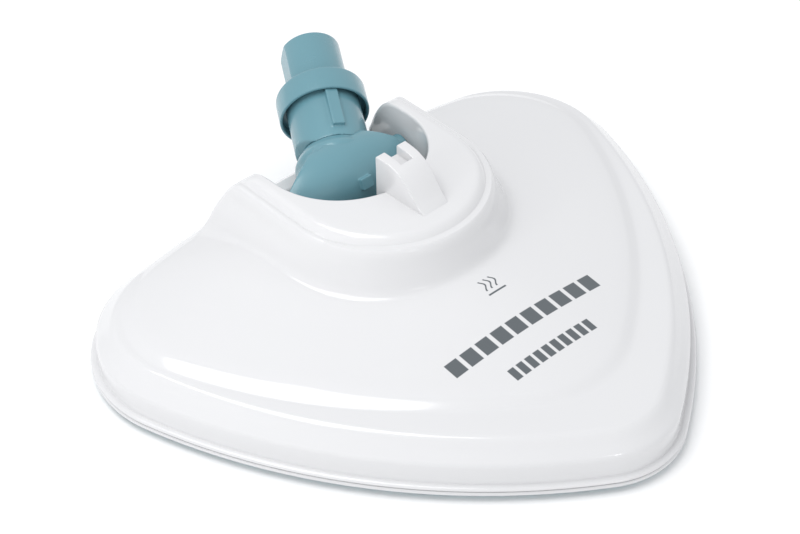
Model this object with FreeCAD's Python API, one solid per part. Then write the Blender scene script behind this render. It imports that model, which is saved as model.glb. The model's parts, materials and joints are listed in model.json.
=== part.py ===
import FreeCAD, Part
import math
import os
from FreeCAD import Vector

# Steam mop head: a rounded triangular floor head, a tilting knuckle and a swivelling neck.
# Millimetres. X to the right, +Y to the back, +Z up; the floor is z = 0.

# ---- overall sizes of the floor head
head_width = 320.0
front_y = -164.2
back_y = 109.2
corner_r = 63.8            # plan radius of the two rear corners
apex_r = 44.3              # plan radius of the nose
side_r = 314.6             # plan radius of the long bowed sides
rear_r = 580.3             # plan radius of the shallow bowed back

# ---- raised deck on the cover
deck_side_inset = 18.0     # head's outline to the deck's, at the sides
deck_nose_inset = 41.2
deck_rear_inset = 15.2
deck_corner_r = 50.0
deck_apex_r = 58.0
deck_side_r = 290.0
deck_rear_r = 560.0
deck_centre_y = 20.0

# ---- vertical stack
sole_t = 3.4
sole_inset = 4.6
tray_t = 2.4
seam_gap = 0.2
lip_h = 2.3
lip_inset = 3.4
cover_wall = 2.4

# ---- horseshoe boss around the joint
boss_r = 56.6
boss_centre_y = 26.3
boss_top_z = 67.0
boss_back_y = 90.5
well_r = 42.5
well_centre_y = 55.5
well_back_y = 84.5
apron_z = 30.0
skirt_z = 24.0

# ---- park bracket on the front of the boss
bracket_w = 19.0
bracket_tip_y = -13.5
bracket_crown_run = 0.45
bracket_crown_rise = 0.77
bracket_rear_y = 19.5
bracket_top_z = 86.0
notch_w = 8.0
notch_depth = 5.5

# ---- the two joint axes cross at one point
pivot_y = 58.4
pivot_z = 45.2
rest_tilt = 73.4           # neck leans back from upright by this angle at rest
rest_swivel = 29.1         # neck leans to +X by this angle at rest, its side stop

# ---- knuckle
ball_r = 22.9              # round foot of the neck turns about this ball
barrel_drop = 0.9          # the barrel's crown lies this far inside the ball
knuckle_left = 39.5        # the fan reaches further on the steam side
knuckle_right = 32.5
knuckle_end_r = 15.0
shoulder_left = 9.0
shoulder_right = 13.0
shoulder_u = 14.0
hip_u = -3.0
hub_r = 6.5
foot_margin = 1.5          # degrees kept between the neck's foot and the hubs
hub_gap = 0.7              # hub end to the well's wall
lug_angle = 48.0           # the park lug sits this far below the knuckle's front
lug_w = 7.0
lug_proud = 1.4
split_gap = 0.15
turn_gap = 0.35            # clearance between surfaces that swing past each other

# ---- swivel tongue and pin
tongue_r = 14.5
tongue_t = 14.0
web_half = 10.0
pin_r = 4.0
pin_bore_gap = 0.05
pin_head_r = 6.5
pin_head_t = 2.0

# ---- trunnions and their bearings
trunnion_r = 4.5
trunnion_bore_r = 2.2
trunnion_depth = 10.0
bush_wall = 1.5
bush_gap = 0.05
cheek_gap = 0.4
cheek_t = 3.0
cheek_r = 10.0
cradle_t = 3.2
cradle_depth = 46.0

# ---- neck
neck_r = 19.3
neck_wall = 2.6
collar_rise = 17.8         # the collar's lower rim is this much further from the pivot than its radius
collar_h = 14.3
collar_r = 23.5
stub_r = 16.0
stub_end_z = 86.4
stub_root_r = 15.6         # the stub's foot, inside the neck and the collar
stub_wall = 3.0
stub_flat = 14.7
rib_w = 6.4
rib_proud = 2.3
rib_low_z = 19.0
steam_bore_r = 4.0
riser_wall = 1.0
inlet_l = 28.0             # depth of the steam inlet in the riser's mouth
supply_bore_r = 3.2        # riser's bore under the inlet

# ---- steam path in the head
hose_r = 3.2
hose_bore_r = 2.0
hose_bend_r = 12.0
elbow_r = 5.9
elbow_l = 6.6
seal_cord_r = 0.45
clamp_t = 0.9
fitting_wall = 0.7
manifold_scale = 0.42
manifold_h = 13.0
manifold_wall = 1.8
manifold_y = -18.0
manifold_reach = 6.94      # how far the manifold's side passes the hose's centre line
gasket_t = 0.9
spigot_l = 9.0
steam_hole_r = 1.6

# ---- fasteners and strips
screw_r = 1.5
screw_head_r = 3.0
screw_head_t = 1.4
post_r = 4.2
post_clear = 2.16          # manifold's side to the posts beside it
rear_post_out = 21.7       # cradle's side to the rear posts' centres
strip_t = 1.6
strip_w = 18.0
strip_recess = 0.2

EPS = 0.01
half_width = head_width / 2
deck_half_width = half_width - deck_side_inset
deck_front_y = front_y + deck_nose_inset
deck_back_y = back_y - deck_rear_inset
tray_z = sole_t
tray_top = tray_z + tray_t
cover_z = tray_top + seam_gap
pivot = Vector(0, pivot_y, pivot_z)
collar_z = collar_r + collar_rise
hub_x = well_r - hub_gap
cheek_x = well_r + cover_wall + cheek_gap
elbow_x = -(cheek_x + cheek_t + 0.3)
hose_x = elbow_x - hose_r - clamp_t
hose_z = tray_top + hose_r + 1.2
X_AXIS = Vector(1, 0, 0)
Y_AXIS = Vector(0, 1, 0)
Z_AXIS = Vector(0, 0, 1)


# ------------------------------------------------------------------ helpers
def cyl(radius, length, base, axis=Z_AXIS):
    return Part.makeCylinder(radius, length, base, axis)


def ring(outer, inner, length, base, axis=Z_AXIS):
    return cyl(outer, length, base, axis).cut(cyl(inner, length, base, axis))


def block(x0, x1, y0, y1, z0, z1):
    return Part.makeBox(x1 - x0, y1 - y0, z1 - z0, Vector(x0, y0, z0))


def fuse_all(shapes):
    whole = shapes[0].multiFuse(shapes[1:]) if len(shapes) > 1 else shapes[0]
    return whole.removeSplitter()


def prism_yz(points, x0, x1):
    """Closed polygon of (y, z) points, extruded along X."""
    ring_points = [Vector(x0, y, z) for y, z in points]
    face = Part.Face(Part.makePolygon(ring_points + ring_points[:1]))
    return face.extrude(Vector(x1 - x0, 0, 0))


def unit(dx, dy):
    size = math.hypot(dx, dy)
    return dx / size, dy / size


def circle_crossing(c0, r0, c1, r1):
    """The crossing of two circles that lies on the -X side."""
    dx, dy = c1[0] - c0[0], c1[1] - c0[1]
    gap = math.hypot(dx, dy)
    along = (r0 * r0 - r1 * r1 + gap * gap) / (2 * gap)
    off = math.sqrt(r0 * r0 - along * along)
    mid_x, mid_y = c0[0] + along * dx / gap, c0[1] + along * dy / gap
    picks = [(mid_x + s * off * dy / gap, mid_y - s * off * dx / gap) for s in (1, -1)]
    return min(picks)


def rounded_triangle(half_w, front, back, r_corner, r_apex, r_side, r_rear, inset, z):
    """Six tangent arcs: bowed back, two corners, two bowed sides and a nose."""
    rear_c = (0.0, back - r_rear)
    corner_x = half_w - r_corner
    corner_y = rear_c[1] + math.sqrt((r_rear - r_corner) ** 2 - corner_x ** 2)
    corner_c = (corner_x, corner_y)
    apex_c = (0.0, front + r_apex)
    side_c = circle_crossing(corner_c, r_side - r_corner, apex_c, r_side - r_apex)

    def on(centre, toward, radius):
        ux, uy = unit(toward[0] - centre[0], toward[1] - centre[1])
        return centre[0] + ux * radius, centre[1] + uy * radius

    rear_pt = on(rear_c, corner_c, r_rear - inset)
    side_pt = on(side_c, corner_c, r_side - inset)
    nose_pt = on(side_c, apex_c, r_side - inset)
    side_mid = on(side_c, ((side_pt[0] + nose_pt[0]) / 2, (side_pt[1] + nose_pt[1]) / 2), r_side - inset)
    corner_mid = on(corner_c, ((rear_pt[0] + side_pt[0]) / 2, (rear_pt[1] + side_pt[1]) / 2), r_corner - inset)

    def p(pt, sign=1):
        return Vector(sign * pt[0], pt[1], z)

    edges = [
        Part.Arc(p(rear_pt, -1), Vector(0, back - inset, z), p(rear_pt)).toShape(),
        Part.Arc(p(rear_pt), p(corner_mid), p(side_pt)).toShape(),
        Part.Arc(p(side_pt), p(side_mid), p(nose_pt)).toShape(),
        Part.Arc(p(nose_pt), Vector(0, front + inset, z), p(nose_pt, -1)).toShape(),
        Part.Arc(p(nose_pt, -1), p(side_mid, -1), p(side_pt, -1)).toShape(),
        Part.Arc(p(side_pt, -1), p(corner_mid, -1), p(rear_pt, -1)).toShape(),
    ]
    return Part.Wire(edges)


def head_outline(inset, z):
    return rounded_triangle(
        head_width / 2, front_y, back_y, corner_r, apex_r, side_r, rear_r, inset, z
    )


def deck_outline(scale, z, shift=0.0):
    """The deck's outline drawn towards the deck's centre by a scale."""
    front = deck_centre_y + (deck_front_y - deck_centre_y + shift) * scale
    back = deck_centre_y + (deck_back_y - deck_centre_y - shift) * scale
    half = (deck_half_width - shift) * scale
    radii = [deck_corner_r, deck_apex_r, deck_side_r, deck_rear_r]
    return rounded_triangle(half, front, back, *[(r - shift) * scale for r in radii], 0.0, z)


def slab(outline_at, inset, z0, z1):
    wire = outline_at(inset, z0)
    return Part.Face(wire).extrude(Vector(0, 0, z1 - z0))


def stack(wires):
    return Part.makeLoft(wires, True, True)


# ------------------------------------------------------------------ cover
skirt_profile = [(lip_inset + 0.3, 10.6), (8.0, 14.9), (14.0, 20.3)]
deck_profile = [(1.0, 28.0), (0.985, 30.2), (0.96, 31.6), (0.85, 34.2), (0.67, 37.6), (0.45, 42.0), (0.3, 44.0)]
boss_profile = [(7.5, 38.0), (4.0, 47.0), (0.6, 55.0), (-0.4, 59.5), (-2.2, 63.0), (-6.0, 65.2), (-9.0, boss_top_z)]


def body_of_cover(skin):
    """The cover's closed outer form, drawn in by a skin thickness."""
    low = cover_z + lip_h
    skirt = [head_outline(inset + skin, low + rise - skin) for inset, rise in skirt_profile]
    bottom = head_outline(lip_inset + skin, cover_z)
    shoulder = deck_outline(1.0, deck_profile[0][1] + 1.0 - skin, skin)
    skirt_solid = stack([bottom] + skirt + [shoulder])
    deck_low = deck_outline(1.0, cover_z + 12.0, skin)
    deck = [deck_outline(scale, z - skin, skin) for scale, z in deck_profile]
    return skirt_solid, stack([deck_low] + deck)


def boss_outline(radius, z):
    left = Vector(-radius, boss_centre_y, z)
    right = Vector(radius, boss_centre_y, z)
    edges = [
        Part.Arc(left, Vector(0, boss_centre_y - radius, z), right).toShape(),
        Part.makeLine(right, Vector(radius, boss_back_y, z)),
        Part.makeLine(Vector(radius, boss_back_y, z), Vector(-radius, boss_back_y, z)),
        Part.makeLine(Vector(-radius, boss_back_y, z), left),
    ]
    return Part.Wire(edges)


def boss_side_limit(skin):
    """Everything under the legs' rounded-down back ends, seen from the side."""
    crest = [(-24.5, 0.0), (-16.5, -5.0), (-10.0, -14.5), (-5.5, -26.0), (-2.3, -37.0), (0.0, -47.0)]
    span = head_width / 2
    pts = [Vector(-span, boss_back_y + y - skin, boss_top_z + z - skin) for y, z in crest]
    curve = Part.BSplineCurve()
    curve.interpolate(pts)
    far = Vector(-span, front_y, pts[0].z)
    low = Vector(-span, front_y, 0)
    foot = Vector(-span, pts[-1].y, 0)
    edges = [
        Part.makeLine(far, pts[0]),
        curve.toShape(),
        Part.makeLine(pts[-1], foot),
        Part.makeLine(foot, low),
        Part.makeLine(low, far),
    ]
    return Part.Face(Part.Wire(edges)).extrude(Vector(2 * span, 0, 0))


def boss_solid(skin):
    wires = [boss_outline(boss_r + boss_profile[0][0] - skin, cover_z + 12.0)]
    wires += [boss_outline(boss_r + grow - skin, z - skin) for grow, z in boss_profile]
    return stack(wires).common(boss_side_limit(skin))


def well(grow, z0, z1):
    """The joint's opening: round in front, straight sides, square back."""
    radius = well_r + grow
    round_part = cyl(radius, z1 - z0, Vector(0, well_centre_y, z0))
    straight = block(-radius, radius, well_centre_y, well_back_y + grow, z0, z1)
    return round_part.fuse(straight)


def apron_cut(grow):
    """The open way between the legs, for the neck that leans back."""
    return block(
        -well_r - grow, well_r + grow, well_centre_y, back_y + 20, apron_z - grow, bracket_top_z + 20
    )


def cover_lip():
    rim = [head_outline(0.6, cover_z), head_outline(0.0, cover_z + 0.7)]
    rim += [head_outline(0.0, cover_z + lip_h - 0.8), head_outline(0.9, cover_z + lip_h)]
    inner = slab(head_outline, lip_inset + cover_wall, cover_z - 1, cover_z + lip_h + 1)
    return stack(rim).cut(inner)


def park_bracket():
    """Wedge with a convex top and two horns; it backs onto the well's front wall."""
    rise = bracket_top_z - boss_top_z
    run = bracket_rear_y - bracket_tip_y
    tip = Vector(-bracket_w / 2, bracket_tip_y, boss_top_z - 0.5)
    crown_y = bracket_tip_y + bracket_crown_run * run
    crown = Vector(-bracket_w / 2, crown_y, boss_top_z + bracket_crown_rise * rise)
    top = Vector(-bracket_w / 2, bracket_rear_y - 1.0, bracket_top_z)
    rear_top = Vector(-bracket_w / 2, bracket_rear_y, bracket_top_z - 1.0)
    rear_low = Vector(-bracket_w / 2, bracket_rear_y, boss_top_z - 9.0)
    root = Vector(-bracket_w / 2, well_centre_y - well_r - cover_wall, boss_top_z - 12.0)
    under = Vector(-bracket_w / 2, root.y, boss_top_z - cover_wall)
    heel = Vector(-bracket_w / 2, bracket_tip_y, boss_top_z - cover_wall)
    edges = [Part.Arc(tip, crown, top).toShape()]
    corners = [top, rear_top, rear_low, root, under, heel, tip]
    edges += [Part.makeLine(a, b) for a, b in zip(corners, corners[1:])]
    wedge = Part.Face(Part.Wire(edges)).extrude(Vector(bracket_w, 0, 0))
    notch_y = bracket_rear_y - 12.0
    notch = block(
        -notch_w / 2, notch_w / 2, notch_y, bracket_rear_y + 5, bracket_top_z - notch_depth, bracket_top_z + 5
    )
    return wedge.cut(notch)


def cover_post_places():
    """Two posts beside the boss, two ahead of it, one in the nose and two at the back."""
    wide = half_width - 64.0
    near = manifold_reach - hose_x + post_r + post_clear
    rear = cheek_x + cheek_t + rear_post_out
    places = [(-wide, 40.0), (wide, 40.0), (-near, -40.0), (near, -40.0), (0.0, front_y + 56.2)]
    return places + [(-rear, back_y - 25.2), (rear, back_y - 25.2)]


def trunnion_slot(side):
    """A slot open downwards, so that the cover drops over the trunnion."""
    x0 = side * (well_r - 1)
    x1 = side * (well_r + cover_wall + 1)
    low_x, high_x = min(x0, x1), max(x0, x1)
    reach = trunnion_r + 2.5
    round_end = cyl(reach, high_x - low_x, Vector(low_x, pivot_y, pivot_z), X_AXIS)
    return round_end.fuse(block(low_x, high_x, pivot_y - reach, pivot_y + reach, skirt_z - 1, pivot_z))


def top_cover():
    skirt_out, deck_out = body_of_cover(0.0)
    skirt_in, deck_in = body_of_cover(cover_wall)
    outer = fuse_all([skirt_out, deck_out, boss_solid(0.0)])
    inner = fuse_all([skirt_in, deck_in, boss_solid(cover_wall)])
    floor_cut = slab(head_outline, lip_inset + cover_wall, cover_z - 1, cover_z + 1)
    inner = fuse_all([inner, floor_cut])
    top = bracket_top_z + 10
    inner = inner.cut(well(cover_wall, skirt_z, top)).cut(apron_cut(cover_wall))
    shell = outer.cut(well(0.0, 0.0, top)).cut(apron_cut(0.0))
    posts = [cyl(post_r, 30.0, Vector(x, y, tray_top + EPS)) for x, y in cover_post_places()]
    posts = [post.common(outer) for post in posts]
    shell = fuse_all([shell.cut(inner), cover_lip(), park_bracket()] + posts)
    for x, y in cover_post_places():
        shell = shell.cut(cyl(screw_r, 12.0, Vector(x, y, tray_top)))
    for side in (-1, 1):
        shell = shell.cut(trunnion_slot(side))
    return shell


# ------------------------------------------------------------------ tray, sole and steam parts
def manifold_outline(grow, z):
    half = manifold_reach - hose_x + grow
    mid = manifold_y
    front = mid + (deck_front_y - deck_centre_y) * manifold_scale * 0.6 - grow
    back = mid + (deck_back_y - deck_centre_y) * manifold_scale + grow
    radii = [r * manifold_scale + grow for r in (deck_corner_r, deck_apex_r)]
    bows = [r * manifold_scale + grow for r in (deck_side_r, deck_rear_r)]
    return rounded_triangle(half, front, back, *radii, *bows, 0.0, z)


def cradle_screw_places():
    reach_y = cradle_depth / 2 - 5.0
    return [(x, pivot_y + y) for x in (-22.0, 22.0) for y in (-reach_y, reach_y)]


def sole_screw_places():
    """Two rows of three along the head's sides."""
    rear = (half_width - 42.0, back_y - 47.2)
    middle = (half_width - 34.0, 8.0)
    nose = (28.0, front_y + 36.2)
    return [(side * x, y) for x, y in (rear, middle, nose) for side in (-1, 1)]


def base_housing():
    rim = [head_outline(0.9, tray_z), head_outline(0.0, tray_z + 0.8)]
    rim += [head_outline(0.0, tray_top - 0.7), head_outline(0.5, tray_top)]
    plate = stack(rim)
    fence_in = lip_inset + cover_wall + turn_gap
    fence = slab(head_outline, fence_in, tray_top - 0.5, tray_top + 5.0)
    fence = fence.cut(slab(head_outline, fence_in + 2.0, tray_top - 1, tray_top + 6.0))
    tray = fuse_all([plate, fence])
    tray = tray.cut(slab(manifold_outline, turn_gap, tray_z - 1, tray_top + 1))
    for x, y in cover_post_places():
        tray = tray.cut(cyl(screw_r + 0.3, tray_t + 2, Vector(x, y, tray_z - 1)))
        tray = tray.cut(cyl(screw_head_r + 0.3, screw_head_t + 1, Vector(x, y, tray_z - 1)))
    for x, y in sole_screw_places() + cradle_screw_places():
        tray = tray.cut(cyl(screw_r, tray_t + 2, Vector(x, y, tray_z - 1)))
    return tray


def strip_boxes():
    """Hook strips: one beside each long side and one across the back."""
    side_len = 0.439 * (back_y - front_y)
    lean = 33.0
    rear_y = back_y - 39.2
    reach = half_width / 2
    strips = {}
    for name, side in (("left", -1), ("right", 1)):
        box = Part.makeBox(strip_w, side_len, strip_t, Vector(-strip_w / 2, -side_len / 2, strip_recess))
        box.rotate(Vector(0, 0, 0), Z_AXIS, -side * lean)
        box.translate(Vector(side * (half_width - 84.0), front_y + 120.2, 0))
        strips["hook_strip_" + name] = box
    strips["hook_strip_rear"] = block(
        -reach, reach, rear_y, rear_y + strip_w, strip_recess, strip_recess + strip_t
    )
    return strips


def steam_hole_places():
    """Two rows of steam holes along a V, inside the manifold's footprint."""
    places = [(0.0, manifold_y - 22.0)]
    for step in range(1, 5):
        for side in (-1, 1):
            places.append((side * 9.0 * step, manifold_y - 22.0 + 7.5 * step))
    return places


def sole_plate():
    edge = [head_outline(sole_inset + 1.4, 0.0), head_outline(sole_inset, 1.4)]
    plate = stack(edge + [head_outline(sole_inset, sole_t)])
    for strip in strip_boxes().values():
        mouth = strip.copy()
        mouth.translate(Vector(0, 0, -strip_recess))
        plate = plate.cut(strip).cut(mouth)
    for x, y in steam_hole_places():
        plate = plate.cut(cyl(steam_hole_r, sole_t + 2, Vector(x, y, -1)))
    for x, y in sole_screw_places():
        plate = plate.cut(cyl(screw_r + 0.3, sole_t + 2, Vector(x, y, -1)))
        plate = plate.cut(cyl(screw_head_r + 0.3, screw_head_t + 1.4, Vector(x, y, -1)))
    return plate


def manifold_gasket():
    outer = slab(manifold_outline, -turn_gap, sole_t, sole_t + gasket_t)
    return outer.cut(slab(manifold_outline, -4.0, sole_t - 1, sole_t + gasket_t + 1))


def spigot(radius, y0, y1):
    return cyl(radius, y1 - y0, Vector(hose_x, y0, hose_z), Y_AXIS)


def manifold_rear_y():
    """How far back the manifold reaches in line with the hose."""
    probe = Part.makeLine(Vector(hose_x, 200, hose_z), Vector(hose_x, -200, hose_z))
    return probe.common(slab(manifold_outline, 0.0, hose_z - 1, hose_z + 1)).BoundBox.YMax


def steam_manifold():
    low = sole_t + gasket_t
    box = slab(manifold_outline, 0.0, low, low + manifold_h)
    hollow = slab(manifold_outline, -manifold_wall, low - 1, low + manifold_h - manifold_wall)
    rear = manifold_rear_y()
    box = fuse_all([box, spigot(hose_bore_r - EPS, rear - 2.0, rear + spigot_l)])
    return box.cut(hollow).cut(spigot(hose_bore_r - fitting_wall, rear - 6.0, rear + spigot_l + 1))


def bar_along(points, bend, radius, overrun=0.0):
    """Round bar along straight runs joined by tangent arcs of one bend radius."""
    edges = []
    points = list(points)
    points[0] = points[0] + (points[0] - points[1]).normalize() * overrun
    points[-1] = points[-1] + (points[-1] - points[-2]).normalize() * overrun
    start = points[0]
    for before, corner, after in zip(points, points[1:], points[2:]):
        to_corner = (corner - before).normalize()
        from_corner = (after - corner).normalize()
        turn = to_corner.getAngle(from_corner)
        trim = bend * math.tan(turn / 2)
        enter = corner - to_corner * trim
        leave = corner + from_corner * trim
        inward = (from_corner - to_corner).normalize()
        middle = corner + inward * (bend / math.cos(turn / 2) - bend)
        edges.append(Part.makeLine(start, enter))
        edges.append(Part.Arc(enter, middle, leave).toShape())
        start = leave
    edges.append(Part.makeLine(start, points[-1]))
    heading = (points[1] - points[0]).normalize()
    disc = Part.Wire(Part.makeCircle(radius, points[0], heading))
    return Part.Wire(edges).makePipeShell([disc], True, False)


def hose_route():
    return [
        Vector(hose_x, pivot_y, pivot_z - elbow_r - 0.5),
        Vector(hose_x, pivot_y, hose_z),
        Vector(hose_x, manifold_rear_y() + 2.5, hose_z),
    ]


def steam_hose():
    outer = bar_along(hose_route(), hose_bend_r, hose_r)
    return outer.cut(bar_along(hose_route(), hose_bend_r, hose_bore_r, 1.0))


def hose_clamps():
    route = hose_route()
    upper = ring(hose_r + clamp_t, hose_r, 3.0, Vector(hose_x, pivot_y, route[0].z - 5.0))
    lower = ring(hose_r + clamp_t, hose_r, 3.0, Vector(hose_x, route[-1].y + 2.0, hose_z), Y_AXIS)
    return Part.makeCompound([upper, lower])


def on_axis(radius, x0, x1):
    """Cylinder on the tilt axis between two X positions."""
    return cyl(radius, x1 - x0, Vector(x0, pivot_y, pivot_z), X_AXIS)


def steam_elbow():
    """Rotary fitting over the hollow trunnion, with a stem down into the hose."""
    far = elbow_x - elbow_l
    stem_z = pivot_z - elbow_r - 8.0
    stem = cyl(hose_bore_r - EPS, pivot_z - stem_z, Vector(hose_x, pivot_y, stem_z))
    body = fuse_all([on_axis(elbow_r, far, elbow_x), stem])
    body = body.cut(on_axis(trunnion_r + bush_gap, far + 1.4, elbow_x + 1))
    body = body.cut(cyl(hose_bore_r - fitting_wall, pivot_z - stem_z + 1, Vector(hose_x, pivot_y, stem_z - 1)))
    half = seal_cord_r + 0.1
    return body.cut(on_axis(trunnion_r + 0.1 + 2 * seal_cord_r, seal_x() - half, seal_x() + half))


def seal_x():
    return elbow_x - 1.3


def trunnion_seal():
    """Round sealing ring in the elbow's groove, around the trunnion."""
    centre = Vector(seal_x(), pivot_y, pivot_z)
    return Part.makeTorus(trunnion_r + 0.04 + seal_cord_r, seal_cord_r, centre, X_AXIS)


# ------------------------------------------------------------------ cradle that carries the knuckle
def cheek(side):
    x0 = cheek_x if side > 0 else -cheek_x - cheek_t
    round_top = cyl(cheek_r, cheek_t, Vector(x0, pivot_y, pivot_z), X_AXIS)
    foot = cradle_depth / 2 - 3.0
    leg = prism_yz(
        [(pivot_y - cheek_r, pivot_z), (pivot_y + cheek_r, pivot_z), (pivot_y + foot, tray_top),
         (pivot_y - foot, tray_top)],
        x0, x0 + cheek_t,
    )
    return round_top.fuse(leg)


def joint_cradle():
    reach = cheek_x + cheek_t
    floor = block(-reach, reach, pivot_y - cradle_depth / 2, pivot_y + cradle_depth / 2, tray_top,
                  tray_top + cradle_t)
    body = fuse_all([floor, cheek(-1), cheek(1)])
    bore = trunnion_r + bush_gap + bush_wall
    body = body.cut(cyl(bore, 2 * reach + 2, Vector(-reach - 1, pivot_y, pivot_z), X_AXIS))
    for x, y in cradle_screw_places():
        body = body.cut(cyl(screw_r + 0.3, cradle_t + 2, Vector(x, y, tray_top - 1)))
    return body


def pivot_bush(side):
    inner = trunnion_r + bush_gap
    start = cheek_x if side > 0 else -cheek_x - cheek_t
    return ring(inner + bush_wall, inner, cheek_t, Vector(start, pivot_y, pivot_z), X_AXIS)


def screw(x, y, z_head, length, up=True):
    """Pan-head screw on a vertical axis; the head is below when it drives upwards."""
    sign = 1 if up else -1
    axis = Z_AXIS * sign
    head = cyl(screw_head_r, screw_head_t, Vector(x, y, z_head), axis)
    slot = block(x - screw_head_r, x + screw_head_r, y - 0.4, y + 0.4, -0.5, 0.5)
    slot.translate(Vector(0, 0, z_head))
    shank = cyl(screw_r - 0.02, length, Vector(x, y, z_head + sign * (screw_head_t - EPS)), axis)
    return head.fuse(shank).removeSplitter().cut(slot)


def cover_screws():
    return Part.makeCompound([screw(x, y, tray_z + 0.0, 11.0) for x, y in cover_post_places()])


def sole_screws():
    return Part.makeCompound([screw(x, y, 0.4, 4.2) for x, y in sole_screw_places()])


def cradle_screws():
    top = tray_top + cradle_t + screw_head_t
    return Part.makeCompound([screw(x, y, top, cradle_t + 2.0, False) for x, y in cradle_screw_places()])


# ------------------------------------------------------------------ knuckle and neck, built upright
# In these functions the pivot is the origin, +Z runs up the neck and -Y is its front.
def to_knuckle(shape):
    placed = shape.copy()
    placed.rotate(Vector(0, 0, 0), X_AXIS, -rest_tilt)
    placed.translate(pivot)
    return placed


def to_neck(shape):
    placed = shape.copy()
    placed.rotate(Vector(0, 0, 0), Y_AXIS, rest_swivel)
    return to_knuckle(placed)


def barrel():
    """Barrel about the tilt axis: a bowed profile turned about X."""
    left = Vector(-knuckle_left, 0, knuckle_end_r)
    right = Vector(knuckle_right, 0, knuckle_end_r)
    left_foot = Vector(-knuckle_left, 0, 0)
    right_foot = Vector(knuckle_right, 0, 0)
    edges = [Part.Arc(left, Vector(0, 0, ball_r - barrel_drop), right).toShape(), Part.makeLine(right, right_foot)]
    edges += [Part.makeLine(right_foot, left_foot), Part.makeLine(left_foot, left)]
    return Part.Face(Part.Wire(edges)).revolve(Vector(0, 0, 0), X_AXIS, 360)


def plan_limit():
    """The fan's plan: full width below, sloping shoulders, narrow top."""
    deep = ball_r + 5
    pts = [(-knuckle_left - 1, -deep), (knuckle_right + 1, -deep), (knuckle_right + 1, hip_u),
           (shoulder_right, shoulder_u), (-shoulder_left, shoulder_u), (-knuckle_left - 1, hip_u)]
    ring_points = [Vector(x, -deep, z) for x, z in pts]
    face = Part.Face(Part.makePolygon(ring_points + ring_points[:1]))
    return face.extrude(Vector(0, 2 * deep, 0))


def swivel_sweep(bar, half_thick, reach):
    """The pieces that cover a bar's sweep: the bar at both stops and the sector between."""
    swing = math.radians(rest_swivel)
    pts = [Vector(0, -half_thick, 0)]
    pts += [Vector(side * reach * math.sin(swing), -half_thick, reach * math.cos(swing)) for side in (-1, 1)]
    pieces = [Part.Face(Part.makePolygon(pts + pts[:1])).extrude(Vector(0, 2 * half_thick, 0))]
    for side in (-1, 1):
        turned = bar.copy()
        turned.rotate(Vector(0, 0, 0), Y_AXIS, side * rest_swivel)
        pieces.append(turned)
    return pieces


def cut_neck_room(form):
    """Clears the round neck's sweep outside the ball, and the tongue's inside it."""
    reach = 60.0
    radius = neck_r + turn_gap
    for piece in swivel_sweep(cyl(radius, reach, Vector(0, 0, 0)), radius, reach):
        form = form.cut(piece.cut(Part.makeSphere(ball_r)))
    return form


def cut_tongue_room(form):
    reach = 40.0
    half = tongue_t / 2 + turn_gap
    across = web_half + turn_gap
    form = form.cut(cyl(tongue_r + turn_gap, 2 * half, Vector(0, -half, 0), Y_AXIS))
    for piece in swivel_sweep(block(-across, across, -half, half, 0, reach), half, reach):
        form = form.cut(piece)
    return form


pin_front = ball_r - 5.0       # the pin's blind end stops under the front skin
pin_seat = ball_r - pin_head_t - 2.6


def knuckle_form():
    form = cut_neck_room(barrel().common(plan_limit()))
    form = fuse_all([form, cyl(hub_r, 2 * hub_x, Vector(-hub_x, 0, 0), X_AXIS)])
    form = cut_tongue_room(form)
    form = form.cut(cyl(pin_r + EPS, pin_front + pin_seat, Vector(0, -pin_front, 0), Y_AXIS))
    form = form.cut(cyl(pin_head_r + 0.2, 20.0, Vector(0, pin_seat, 0), Y_AXIS))
    for side, reach in ((-1, knuckle_left), (1, knuckle_right)):
        x0 = min(side * (reach - trunnion_depth), side * (hub_x + 1))
        length = hub_x + 1 - (reach - trunnion_depth)
        form = form.cut(cyl(trunnion_r + EPS, length, Vector(x0, 0, 0), X_AXIS))
    return form.cut(cyl(trunnion_bore_r, knuckle_left, Vector(-knuckle_left, 0, 0), X_AXIS))


def knuckle_screw_places():
    return [(-23.0, -10.0), (23.0, -10.0)]


def knuckle_shell(front):
    half = 60.0
    if front:
        keep = block(-half, half, -half, -split_gap / 2, -half, half)
    else:
        keep = block(-half, half, split_gap / 2, half, -half, half)
    shell = knuckle_form().common(keep)
    for x, z in knuckle_screw_places():
        shell = shell.cut(cyl(screw_r, 22.0, Vector(x, -9.0, z), Y_AXIS))
        shell = shell.cut(cyl(screw_head_r + 0.2, 30.0, Vector(x, 6.0, z), Y_AXIS))
    if front:
        shell = fuse_all([shell, park_lug()])
    return shell


def park_lug():
    """Small nose low on the front shell, the knuckle's forward stop."""
    nose = block(-lug_w / 2, lug_w / 2, -ball_r - lug_proud, -ball_r + 3.5, -3.0, 3.0)
    nose.rotate(Vector(0, 0, 0), X_AXIS, lug_angle)
    return nose


def knuckle_screws():
    screws = []
    for x, z in knuckle_screw_places():
        head = cyl(screw_head_r, screw_head_t, Vector(x, 6.0, z), Y_AXIS)
        shank = cyl(screw_r - 0.02, 14.0, Vector(x, -8.0, z), Y_AXIS)
        slot = block(x - screw_head_r, x + screw_head_r, 6.0 + screw_head_t - 0.6, 9.0, z - 0.4, z + 0.4)
        screws.append(to_knuckle(head.fuse(shank).removeSplitter().cut(slot)))
    return Part.makeCompound(screws)


def swivel_pin():
    """Pin across the knuckle; it turns in the tongue and is waisted for the steam."""
    body = cyl(pin_r, pin_front + pin_seat, Vector(0, -pin_front, 0), Y_AXIS)
    head = cyl(pin_head_r, pin_head_t, Vector(0, pin_seat, 0), Y_AXIS)
    waist = ring(pin_r + 1, pin_r - 1.2, 5.0, Vector(0, -2.5, 0), Y_AXIS)
    return to_knuckle(fuse_all([body, head]).cut(waist))


def pin_cap():
    """Press-in disc that covers the pin's head at the back."""
    return to_knuckle(cyl(pin_head_r + 0.2, 1.2, Vector(0, pin_seat + pin_head_t, 0), Y_AXIS))


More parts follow.
